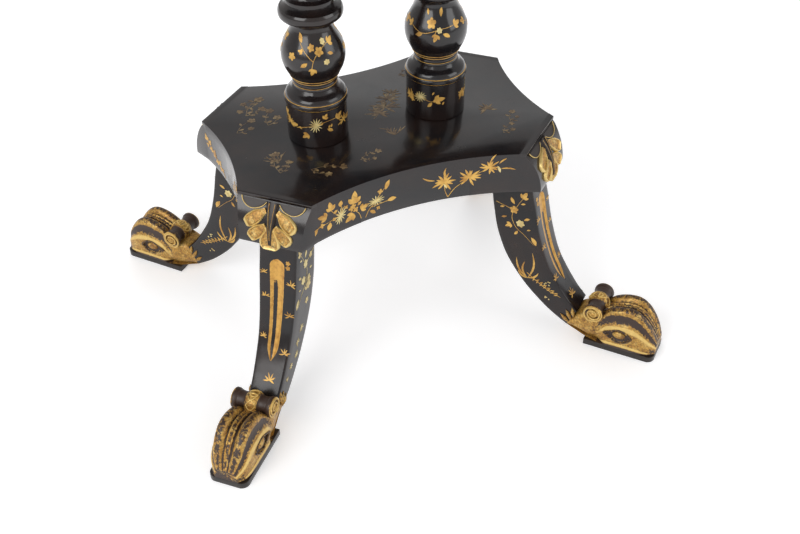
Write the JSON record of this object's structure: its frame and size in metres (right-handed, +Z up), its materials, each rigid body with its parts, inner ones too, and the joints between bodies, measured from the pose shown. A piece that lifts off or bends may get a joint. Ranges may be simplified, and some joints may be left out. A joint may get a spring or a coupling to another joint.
{
  "type": "tilt top table",
  "caption": "Black-lacquered tilt top table: rectangular top on twin turned columns, concave platform base and sabre legs with gilt scroll feet.",
  "frame": {"origin": "on the floor, under the middle of the table", "axes": "+X along the line of the two columns (the long side of the top), +Y towards the side with the sliding bolt, +Z up"},
  "size_m": [0.86, 0.58, 0.74],
  "materials": {
    "black_lacquer": "worn black lacquer over wood, glossy, with gilt sprays",
    "gilt_carving": "carved wood, worn gilding over dark brown",
    "ebonised_wood": "dark stained wood, satin",
    "bare_wood": "plain unfinished softwood inside the base",
    "brass": "old brass, softly polished",
    "iron": "dulled iron wood screws"
  },
  "bodies": {
    "base": {"column_left": "black_lacquer", "column_right": "black_lacquer", "column_wedges": "bare_wood", "corner_block_back_left": "black_lacquer", "corner_block_back_right": "black_lacquer", "corner_block_front_left": "black_lacquer", "corner_block_front_right": "black_lacquer", "foot_back_left": "gilt_carving", "foot_back_right": "gilt_carving", "foot_dowels": "bare_wood", "foot_front_left": "gilt_carving", "foot_front_right": "gilt_carving", "glue_blocks": "bare_wood", "head_block": "ebonised_wood", "keeper_plate": "brass", "keeper_screws": "iron", "leaf_back_left": "gilt_carving", "leaf_back_right": "gilt_carving", "leaf_front_left": "gilt_carving", "leaf_front_right": "gilt_carving", "leg_back_left": "black_lacquer", "leg_back_right": "black_lacquer", "leg_front_left": "black_lacquer", "leg_front_right": "black_lacquer", "leg_pegs": "bare_wood", "pivot_pin_left": "brass", "pivot_pin_right": "brass", "platform_board": "black_lacquer", "rail_back": "black_lacquer", "rail_front": "black_lacquer", "rail_left": "black_lacquer", "rail_right": "black_lacquer", "sole_back_left": "ebonised_wood", "sole_back_right": "ebonised_wood", "sole_front_left": "ebonised_wood", "sole_front_right": "ebonised_wood", "sole_screws": "iron", "spine_board": "bare_wood"},
    "top": {"bearer_left": "ebonised_wood", "bearer_right": "ebonised_wood", "bearer_screws": "iron", "bolt_plate": "brass", "bolt_plate_screws": "iron", "lipping_back": "black_lacquer", "lipping_front": "black_lacquer", "lipping_left": "black_lacquer", "lipping_right": "black_lacquer", "top_panel": "black_lacquer"},
    "bolt": {"bolt_rod": "brass", "bolt_knob": "brass"}
  },
  "joints": [
    {"name": "top_tilt", "type": "hinge", "parent": "base", "child": "top", "pos_m": [0, -0.0513, 0.701], "axis": [1, 0, 0], "range_deg": [0, 90]},
    {"name": "bolt_slide", "type": "slide", "parent": "top", "child": "bolt", "axis": [0, 1, 0], "range_m": [-0.012, 0]}
  ]
}
